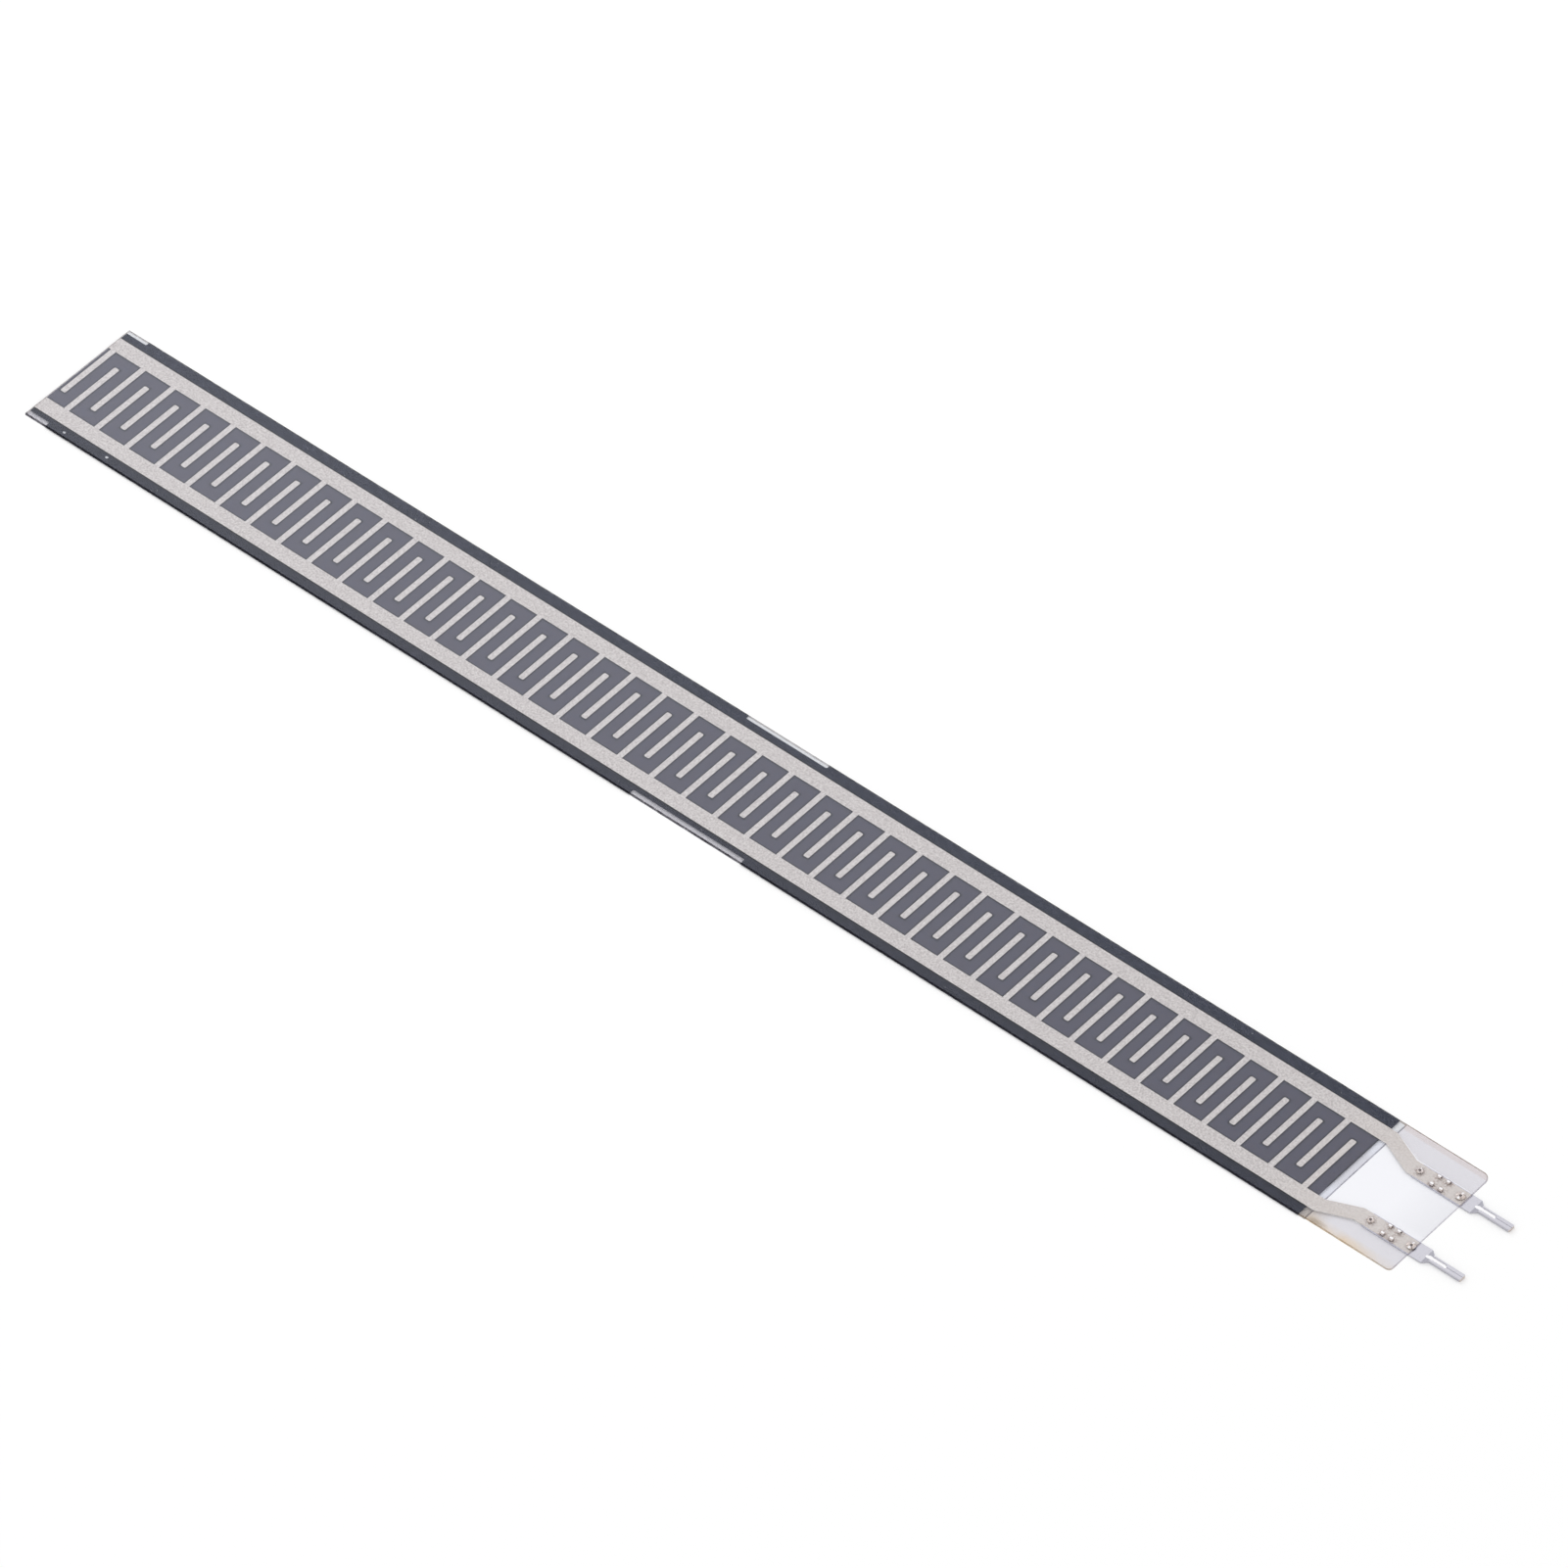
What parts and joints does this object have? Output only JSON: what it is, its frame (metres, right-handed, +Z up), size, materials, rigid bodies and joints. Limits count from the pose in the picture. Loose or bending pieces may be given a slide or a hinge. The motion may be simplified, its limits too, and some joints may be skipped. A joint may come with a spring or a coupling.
{
  "type": "force sensing resistor",
  "caption": "Long flat force sensing strip: clear films, interdigitated silver combs over a carbon layer, and a short tail with two crimped male pins.",
  "frame": {"origin": "on the resting plane, under the middle of the part's length and width", "axes": "+X along the strip towards the terminals, +Y across it to the left, +Z up through the layers"},
  "size_m": [0.1768, 0.015, 0.0005],
  "materials": {
    "clear_film": "clear polyester film, glossy",
    "carbon_ink": "screen-printed carbon ink, matt dark grey",
    "silver_ink": "screen-printed silver ink, matt warm grey",
    "adhesive": "clear acrylic adhesive, slightly hazy",
    "tinned_terminal": "tin-plated sheet, satin"
  },
  "bodies": {
    "root": {"backing_film": "clear_film", "electrode_film": "clear_film", "carbon_layer": "carbon_ink", "silver_comb_left": "silver_ink", "silver_comb_right": "silver_ink", "spacer_left": "adhesive", "spacer_right": "adhesive", "terminal_left": "tinned_terminal", "terminal_right": "tinned_terminal"}
  },
  "joints": []
}
